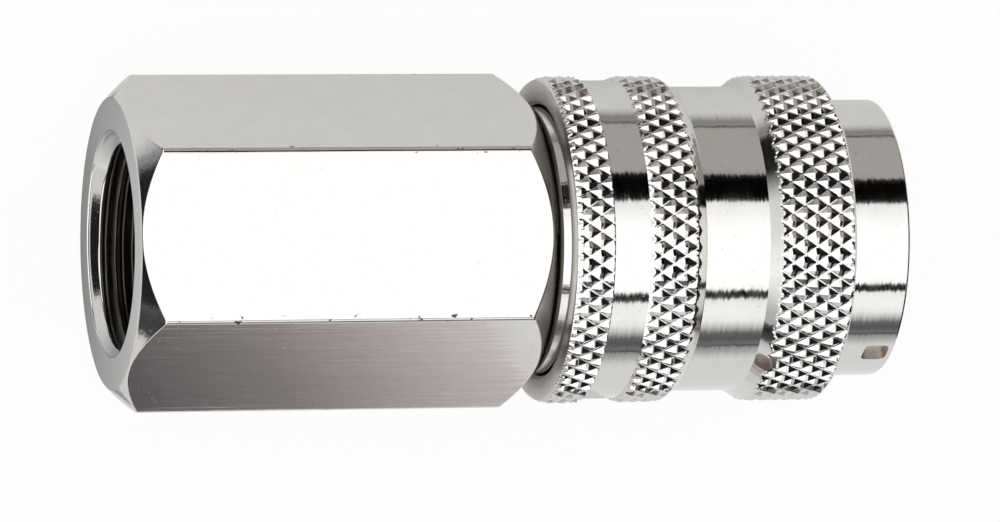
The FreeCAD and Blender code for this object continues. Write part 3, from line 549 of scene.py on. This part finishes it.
# Poppet, valve guide and retaining ring: the valve is turned from brass and slides in a drilled brass disc,
# which an open ring of spring steel holds in the tube's rear end. These keep the shapes of the solids.
turned_brass = metal_finish("turned_brass", (0.80, 0.62, 0.30), (0.55, 0.40, 0.17),
                            (7000, 90, 90), (0.16, 0.30), 2.0e-6)
spring_steel = metal_finish("spring_steel", (0.56, 0.55, 0.54), (0.34, 0.33, 0.32),
                            (2500, 2500, 2500), (0.22, 0.38), 2.0e-6)
dress_node("valve_poppet", turned_brass)
dress_node("valve_guide", turned_brass)
dress_node("retaining_ring", spring_steel)


# Springs: three coils of round spring wire, ground square at the ends. One closes the valve, one pushes the
# keeper out under the balls, and the largest lies round the tube and pushes the sleeve forward.
def coil_spring(name, rear, front, coil, wire, turns, turn_steps=64, wire_sides=16):
    """A wire's round section carried along a helix: the section stands across the wire's own direction, and
    the helix keeps its radius while it rises evenly from one end to the other."""
    spin = np.linspace(0, 2 * math.pi * turns, int(turns * turn_steps) + 1)[:, None]
    around = full_turn(wire_sides)
    pitch = (front - rear - wire) / (2 * math.pi * turns)
    lead = math.hypot(coil, pitch)
    outward = coil + 0.5 * wire * np.cos(around)
    along = 0.5 * wire * np.sin(around)
    x = rear + 0.5 * wire + pitch * spin + along * coil / lead
    twist = spin - along * pitch / (lead * coil)
    points = np.stack([x, -outward * np.sin(twist), outward * np.cos(twist)], axis=-1) * MM
    ends = points[[0, -1]].mean(axis=1, keepdims=True).repeat(points.shape[1], axis=1)
    points = np.concatenate([ends[:1], points, ends[1:]])
    return lay_grid(name, points, loop_rows=False)


for spring_name, spring_node, fixed, moving, rear, front, coil, wire, turns in (
    ("valve_coil", "valve_spring", "body", "poppet", 21.25, 27.15, 2.95, 0.7, 3.5),
    ("keeper_coil", "keeper_spring", "body", "keeper", 35.25, 42.35, 6.0, 0.7, 3.0),
    ("sleeve_coil_wire", "sleeve_spring", "sleeve_coil", "sleeve", 33.55, 40.35, 9.62, 0.9, 4.0),
):
    spring = coil_spring(spring_name, rear, front, coil, wire, turns)
    spring.data.materials.append(spring_steel)
    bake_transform(spring)
    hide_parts(spring_node)


# Ball keeper: a flanged collar turned from brass that slides in the tube on its spring. It stands under the
# balls and holds them out until a plug pushes it in.
KEEPER_ENDS = (42.4, 47.35)
KEEPER_INSIDE = 5.2
KEEPER_TOP = 6.05
KEEPER_BEVEL = 0.3
FLANGE = 6.7
FLANGE_FRONT = 43.75
keeper_corners = np.array([
    (KEEPER_ENDS[0], KEEPER_INSIDE),
    (KEEPER_ENDS[0], FLANGE),
    (FLANGE_FRONT, FLANGE),
    (FLANGE_FRONT, KEEPER_TOP),
    (KEEPER_ENDS[1] - KEEPER_BEVEL, KEEPER_TOP),
    (KEEPER_ENDS[1], KEEPER_TOP - KEEPER_BEVEL),
    (KEEPER_ENDS[1], KEEPER_INSIDE),
])[:, None, :]
keeper = lay_grid("keeper_collar", carry_round(soften(keeper_corners, TUBE_EDGE), fine_turn))
keeper.data.materials.append(turned_brass)
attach(keeper, "keeper")
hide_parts("ball_keeper")


# Locking balls: eight balls of hardened and polished steel, dropped into the tube's stepped holes. They stand
# out on the keeper while no plug is in, and the sleeve's taper pushes them in as it goes forward.
BALL_OUT = 7.95
BALL_ROWS = 25
BALL_COLUMNS = 48
lift = np.linspace(math.pi, 0, BALL_ROWS)
ball_profile = np.stack([BALL * np.cos(lift), BALL * np.sin(lift)], axis=-1)[:, None, :]
polished_ball = metal_finish("polished_ball", (0.80, 0.80, 0.80), (0.68, 0.68, 0.68),
                             (3000, 3000, 3000), (0.03, 0.07), 2.0e-7)
for number, clock in enumerate(BALL_CLOCK):
    centre = np.array([BALL_PLACE, -BALL_OUT * math.sin(clock), BALL_OUT * math.cos(clock)]) * MM
    ball_points = carry_round(ball_profile, full_turn(BALL_COLUMNS)) + centre
    ball = lay_grid(f"locking_ball_{number + 1}", ball_points, loop_rows=False)
    ball.data.materials.append(polished_ball)
    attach(ball, f"ball_{number + 1}")
    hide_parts(f"ball_{number + 1}")


# Sleeve: one turned piece with three knurled bands, a smooth ring, a waist between two cones and, inside, the
# taper that works the balls. The diamonds are rolled in before the cones are turned, and a mark is punched at
# the waist. It is steel with bright nickel plating, and its plain parts keep fine turning lines.
SLEEVE_REAR = 32.85
SLEEVE_FRONT = 54.5
SLEEVE_END = 12.05
SLEEVE_BEVEL = 0.25
REAR_BAND = (33.2, 35.6)
RING_RUN = (35.75, 38.5)
MIDDLE_BAND = (39.1, 41.9)
WAIST_RUN = (43.0, 47.9)
FRONT_BAND = (48.95, 54.15)
ROW_GAP = 0.015
GUARD = 0.05
NOSE_ROOM = 10.55
TAPER_FRONT = (47.3, 9.878)
TAPER_REAR = (42.86, 8.98)
SPRING_STOP = 40.4
SPRING_ROOM = 10.3
BAND = 12.4
SMOOTH = 12.05
WAIST = 11.55
KNURL_AROUND = 62
KNURL_LENGTH = 1.86
KNURL_STEPS = 12
KNURL_TIP = 12.38
KNURL_LAND = 1 / 12
KNURL_DEPTH = 0.27
KNURL_REAR = 33.12
KNURL_FRONT = 54.3
SLEEVE_MARK_ANGLE = math.radians(54)
SLEEVE_MARK_PLACE = 48.7
SLEEVE_MARK_RADIUS = 0.75
outer_x = np.array([SLEEVE_REAR, *REAR_BAND, *RING_RUN, *MIDDLE_BAND, *WAIST_RUN, *FRONT_BAND, SLEEVE_FRONT])
outer_r = np.array([SLEEVE_END, BAND, BAND, SMOOTH, SMOOTH, BAND, BAND, WAIST, WAIST, BAND, BAND, SLEEVE_END])
knurled = ((KNURL_REAR, RING_RUN[0]), (RING_RUN[1], WAIST_RUN[0]), (WAIST_RUN[1], KNURL_FRONT))


def knurl_height(x, angles):
    """Height of a diamond knurl above its grooves: two families of grooves with narrow flat bottoms cross,
    and each point rises with its distance from the nearer bottom."""
    turn_share = angles * KNURL_AROUND / (2 * math.pi)
    along = (x - SLEEVE_REAR) / KNURL_LENGTH
    rising = np.abs((turn_share + along + 0.5) % 1 - 0.5)
    falling = np.abs((turn_share - along + 0.5) % 1 - 0.5)
    share = (2 * np.minimum(rising, falling) - KNURL_LAND) / (1 - 2 * KNURL_LAND)
    return KNURL_DEPTH * np.clip(share, 0, 1)


def sleeve_rows():
    """Places of the rows along the outside: every twelfth of a diamond on the knurled bands, where they pass
    beside the grooves' crossings, and otherwise only the corners of the turned profile, with one more row
    inside each end of the two plain runs to keep these straight."""
    step = KNURL_LENGTH / KNURL_STEPS
    bands = []
    for low, high in knurled:
        first = math.ceil((low - SLEEVE_REAR) / step)
        last = math.floor((high - SLEEVE_REAR) / step)
        bands.append(np.arange(first, last + 1) * step)
    rows = SLEEVE_REAR + np.concatenate(bands) + step / 2
    clear = np.abs(rows[:, None] - outer_x).min(axis=1) > ROW_GAP
    beside = np.array([*RING_RUN, *WAIST_RUN]) + GUARD * np.array([1, -1, 1, -1])
    return np.sort(np.concatenate([rows[clear], outer_x, beside]))


def sleeve_skin(x, angles):
    """Radius of the outside: the turned profile, or the knurl where that lies deeper on a knurled band."""
    turned = np.interp(x, outer_x, outer_r)
    height = knurl_height(x, angles)
    on_band = np.any([(x > low) & (x < high) for low, high in knurled], axis=0)
    return np.where(on_band, np.minimum(turned, KNURL_TIP - KNURL_DEPTH + height), turned + 0 * height)


knurl_angles = np.arange(KNURL_AROUND * KNURL_STEPS) * 2 * math.pi / (KNURL_AROUND * KNURL_STEPS)
row_x = sleeve_rows()[:, None]
skin_r = sleeve_skin(row_x, knurl_angles)
skin_rows = np.stack(np.broadcast_arrays(row_x, skin_r), axis=-1)
middle_r = sleeve_skin((row_x[1:] + row_x[:-1]) / 2, knurl_angles + knurl_angles[1] / 2)
beside_r = np.roll(skin_r, -1, axis=1)
first_diagonal = (skin_r[:-1] + beside_r[1:]) / 2
other_diagonal = (beside_r[:-1] + skin_r[1:]) / 2
skin_folds = np.abs(other_diagonal - middle_r) < np.abs(first_diagonal - middle_r)
inside_corners = np.array([
    (SLEEVE_FRONT, NOSE_ROOM + SLEEVE_BEVEL),
    (SLEEVE_FRONT - SLEEVE_BEVEL, NOSE_ROOM),
    (TAPER_FRONT[0], NOSE_ROOM),
    TAPER_FRONT,
    TAPER_REAR,
    (SPRING_STOP, TAPER_REAR[1]),
    (SPRING_STOP, SPRING_ROOM),
    (SLEEVE_REAR + SLEEVE_BEVEL, SPRING_ROOM),
    (SLEEVE_REAR, SPRING_ROOM + SLEEVE_BEVEL),
])[:, None, :]
inside_rows = np.broadcast_to(inside_corners, (len(inside_corners), len(knurl_angles), 2))
folds = np.concatenate([skin_folds, np.zeros((len(inside_rows) + 1, len(knurl_angles)), bool)])
sleeve_grid = np.concatenate([skin_rows, inside_rows])
sleeve = lay_grid("knurled_sleeve", carry_round(sleeve_grid, knurl_angles), folds=folds)
# Painted shade: the sleeve's whole bore, and its rear face fading out towards the outside, are painted darker
# and duller. This stands for the shade inside the sleeve and in the gap behind it.
painted_shade_mark = sleeve.data.attributes.new("stain_and_shade", "FLOAT", "POINT")
painted_shade_rows = np.concatenate([np.zeros(len(row_x) + 1), np.ones(len(inside_rows) - 1)])
painted_shade_mark.data.foreach_set("value", np.repeat(painted_shade_rows, len(knurl_angles)).astype(np.float32))
sleeve_mark = punch(WAIST - MARK_DEPTH, BAND + PUNCH_CLEAR, SLEEVE_MARK_RADIUS)
knurled_nickel = metal_finish("knurled_nickel", (0.76, 0.75, 0.735), (0.58, 0.565, 0.545), (9000, 140, 140),
                              (0.06, 0.12), 1.0e-6, tilt=0.06, smudge_scale=500.0, stained_or_shaded_by="stain_and_shade")
sleeve.data.materials.append(knurled_nickel)
sleeve.data.materials.append(drilled_steel)
drill(sleeve, [(SLEEVE_MARK_PLACE, SLEEVE_MARK_ANGLE, sleeve_mark, PUNCHED)], crisp=30)
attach(sleeve, "sleeve")
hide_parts("sleeve")


# Floor: a wide sheet of pale paper under the socket. It glows for the camera, so that it stays nearly white
# and keeps only a soft shadow of the socket.
FLOOR = -12.42
FLOOR_REACH = 1.6
FLOOR_GLOW = 0.95
floor_mesh = bpy.data.meshes.new("pale_floor")
floor_corners = [(-FLOOR_REACH, -FLOOR_REACH), (FLOOR_REACH, -FLOOR_REACH),
                 (FLOOR_REACH, FLOOR_REACH), (-FLOOR_REACH, FLOOR_REACH)]
floor_mesh.from_pydata([(x, y, FLOOR * MM) for x, y in floor_corners], [], [(0, 1, 2, 3)])
floor = bpy.data.objects.new("pale_floor", floor_mesh)
bpy.context.scene.collection.objects.link(floor)
paper = bpy.data.materials.new("pale_paper")
paper.use_nodes = True
tree = paper.node_tree
tree.nodes.clear()
diffuse = add_node(tree, "ShaderNodeBsdfDiffuse", values={"Color": (0.86, 0.855, 0.85, 1)})
glow = add_node(tree, "ShaderNodeEmission", values={"Color": (1, 1, 1, 1), "Strength": 1.0})
seen = add_node(tree, "ShaderNodeLightPath")
share = add_node(tree, "ShaderNodeMath", operation="MULTIPLY", values={1: FLOOR_GLOW},
                 links=[(0, seen.outputs["Is Camera Ray"])])
floor_mix = add_node(tree, "ShaderNodeMixShader",
                     links=[(0, share.outputs[0]), (1, diffuse.outputs[0]), (2, glow.outputs[0])])
add_node(tree, "ShaderNodeOutputMaterial", links=[("Surface", floor_mix.outputs[0])])
floor_mesh.materials.append(paper)


# Studio light: a tent of glowing cards round the socket's axis, whose brightness changes with the angle from
# straight up towards +Y. It is mostly bright past the port end and stops short past the nose, so that faces
# turned that way are dark. Sheets that lie on the floor are seen only by the metal: they are painted
# reflections of the floor, darker where they stand for its shade, and some carry painted streaks and a tint.
TENT_DISTANCE = 0.5
TENT_SIDE = -0.03
TENT_ENDS = (-0.95, 0.37)
PORT_TENT_END = -0.36
NOSE_TENT_START = 0.25
SHEET_LIFT = 0.3
SHEET_STRIPES = 0.3
SHEET_REAR = -0.05
DARK = 0.01
WHITE = np.array([1.0, 1.0, 1.0])
WARM = np.array([1.0, 0.935, 0.9])
BROWN = np.array([1.0, 0.8, 0.62])
MAUVE = np.array([1.0, 0.90, 0.915])


def set_card(name, places, glow):
    """Joins a grid of places into a card that the camera doesn't see. Each place glows with its own colour,
    which runs evenly to those of the places beside it."""
    grid = np.arange(places.shape[0] * places.shape[1]).reshape(places.shape[:2])
    faces = np.stack([grid[:-1, :-1], grid[1:, :-1], grid[1:, 1:], grid[:-1, 1:]], axis=-1)
    mesh = bpy.data.meshes.new(name)
    mesh.from_pydata(places.reshape(-1, 3).tolist(), [], faces.reshape(-1, 4).tolist())
    colour = mesh.attributes.new("glow", "FLOAT_COLOR", "POINT")
    opaque = np.concatenate([glow, np.ones((*glow.shape[:2], 1))], axis=-1)
    colour.data.foreach_set("color", opaque.astype(np.float32).ravel())
    card = bpy.data.objects.new(name, mesh)
    bpy.context.scene.collection.objects.link(card)
    mesh.materials.append(card_light)
    card.visible_camera = False
    card.visible_shadow = False
    return card


def hang_card(name, ends, angles, strengths, tint, steps=4):
    """A strip of a cylinder about X between the first and last angle, in so many steps a degree, with its
    brightness given at each angle."""
    spread = np.linspace(angles[0], angles[-1], int(abs(angles[-1] - angles[0]) * steps) + 1)
    turn = np.radians(spread)[:, None]
    y, z = TENT_DISTANCE * np.sin(turn), TENT_DISTANCE * np.cos(turn)
    places = np.stack(np.broadcast_arrays(np.array(ends), y, z), axis=-1)
    strength = np.interp(spread, angles, strengths)[:, None, None]
    return set_card(name, places, np.broadcast_to(strength * tint, places.shape))


def lay_card(name, ends, distances, strengths, tint=WHITE):
    """A strip that lies on the floor, with its brightness given at distances from the axis, and also at each
    of its ends where strengths has more than one column. Only the metal sees it: it is a painted reflection
    of the floor, with the floor's light and shade painted into it."""
    y = np.array(distances)[:, None]
    places = np.stack(np.broadcast_arrays(np.array(ends), y, (FLOOR + SHEET_LIFT) * MM), axis=-1)
    strength = np.array(strengths).reshape(len(distances), -1, 1)
    card = set_card(name, places, np.broadcast_to(strength * tint, places.shape))
    card.visible_diffuse = False


card_light = bpy.data.materials.new("card_light")
card_light.use_nodes = True
tree = card_light.node_tree
tree.nodes.clear()
glow = add_node(tree, "ShaderNodeAttribute", attribute_name="glow")
light = add_node(tree, "ShaderNodeEmission", values={"Strength": 1.0},
                 links=[("Color", glow.outputs["Color"])])
add_node(tree, "ShaderNodeOutputMaterial", links=[("Surface", light.outputs[0])])
hang_card("front_tent", (TENT_SIDE, NOSE_TENT_START),
          (-90, -84, -78, -73, -68, -62, -49.1, -48.3, -42.5, -41.5, -30, 0, 15, 24.2, 25.2, 45.4),
          (0.25, 0.115, 0.17, 0.69, 1.12, 1.25, 1.2, 0, 0, 1.4, 1.5, 1.5, 1.3, 1.15, 0, 0), WHITE)
hang_card("nose_tent", (NOSE_TENT_START, TENT_ENDS[1]),
          (-60, -45, 15, 24.2, 25.2), (0, 0.6, 0.6, 0.5, 0), WHITE)
hang_card("back_tent", (TENT_SIDE, TENT_ENDS[1]), (45.4, 46.4, 89), (0, 0.485, 0.485), WARM)
hang_card("back_corner", (TENT_ENDS[1], 0.57), (50, 89), (0.14, 0.14), BROWN)
hang_card("port_tent", (PORT_TENT_END, TENT_SIDE), (-85, 62, 72, 89), (1.7, 1.7, 0.2, 0.08), WHITE)
hang_card("far_port_tent", (TENT_ENDS[0], PORT_TENT_END), (-85, -75, -60, -40, 6, 35, 50, 62, 89),
          (0.55, 0.6, 0.95, 1.3, 1.0, 0.9, 0.4, 0.02, 0.01), WHITE)
hang_card("floor_fill", (-0.75, 1.25), (-60, 60), (0.95, 0.95), WHITE).visible_glossy = False
# Painted reflections: sheets of painted floor light and painted floor shade that only the metal sees. The
# sheet under the hexagon also has painted streaks.
lay_card("back_floor", (-0.75, 0.45), (0.075, 0.15, 0.3, 0.5), (0.72, 0.30, 0.30, 0.45))
slant_x = (0.26, 0.15, 0.125, 0.10)
slant_y = (-0.5, -0.2, -0.131, -0.067)
lay_card("front_floor", [(SHEET_REAR, x) for x in slant_x], slant_y, (0.25, 0.45, 0.55, 0.89))
lay_card("port_front_floor", (-0.75, SHEET_REAR), (-0.5, -0.065), (0.06, 0.06))
lay_card("sleeve_floor", (0.0415, 0.095), (-0.066, -0.012), (0.88, 0.85))
nose_x = [(x, FLOOR_REACH) for x in (0.30, *slant_x, 0.085)]
lay_card("nose_floor", nose_x, (-FLOOR_REACH, *slant_y, -0.02), [DARK] * len(nose_x))
lay_card("far_floor", (-FLOOR_REACH, 0.30), (-FLOOR_REACH, -0.5), (DARK, DARK))
sheet_y = np.linspace(-0.056, -0.033, 12)
stripes = 1 + SHEET_STRIPES * (-1.0) ** np.arange(len(sheet_y))
fall = np.linspace(1.1, 0.9, len(sheet_y))
sheet = np.outer(fall * stripes, (0.0, 0.28, 0.72))
lay_card("hexagon_floor", (-0.005, 0.02, 0.0395), sheet_y, sheet, MAUVE)
lay_card("port_floor", (-0.012, 0.0), (-0.016, 0.016), ((1.1, 0.3), (0.7, 0.25)))

world = bpy.data.worlds.new("studio")
bpy.context.scene.world = world
world.use_nodes = True
tree = world.node_tree
tree.nodes.clear()
seen = add_node(tree, "ShaderNodeLightPath")
room = add_node(tree, "ShaderNodeBackground", values={"Color": (1, 1, 1, 1), "Strength": 0.015})
white = add_node(tree, "ShaderNodeBackground", values={"Color": (1, 1, 1, 1), "Strength": 1.0})
world_mix = add_node(tree, "ShaderNodeMixShader",
                     links=[(0, seen.outputs["Is Camera Ray"]), (1, room.outputs[0]), (2, white.outputs[0])])
add_node(tree, "ShaderNodeOutputWorld", links=[("Surface", world_mix.outputs[0])])


# Camera: a long lens 0.59 m from the socket, above it and a little towards the port end, so that the port's
# mouth shows. It is rolled by less than half a degree.
AIM = Vector((30.05, -1.56, -0.08)) * MM
CAMERA_PLACE = Vector((-121.9, -27.3, 565.7)) * MM
IMAGE_TILT = math.radians(3.09)
IMAGE_UP = Vector((0, math.cos(IMAGE_TILT), math.sin(IMAGE_TILT)))
ROLL = -0.0076
lens = bpy.data.cameras.new("photo_view")
lens.sensor_fit = "HORIZONTAL"
lens.sensor_width = 36.0
lens.lens = 279.5
lens.clip_start = 0.05
lens.clip_end = 10.0
camera = bpy.data.objects.new("photo_view", lens)
bpy.context.scene.collection.objects.link(camera)
back = (CAMERA_PLACE - AIM).normalized()
right = IMAGE_UP.cross(back).normalized()
up = back.cross(right)
turned_right = right * math.cos(ROLL) + up * math.sin(ROLL)
turned_up = back.cross(turned_right)
pose = Matrix((turned_right, turned_up, back)).transposed().to_4x4()
pose.translation = CAMERA_PLACE
camera.matrix_world = pose
bpy.context.scene.camera = camera
bpy.context.scene.view_settings.view_transform = "Standard"
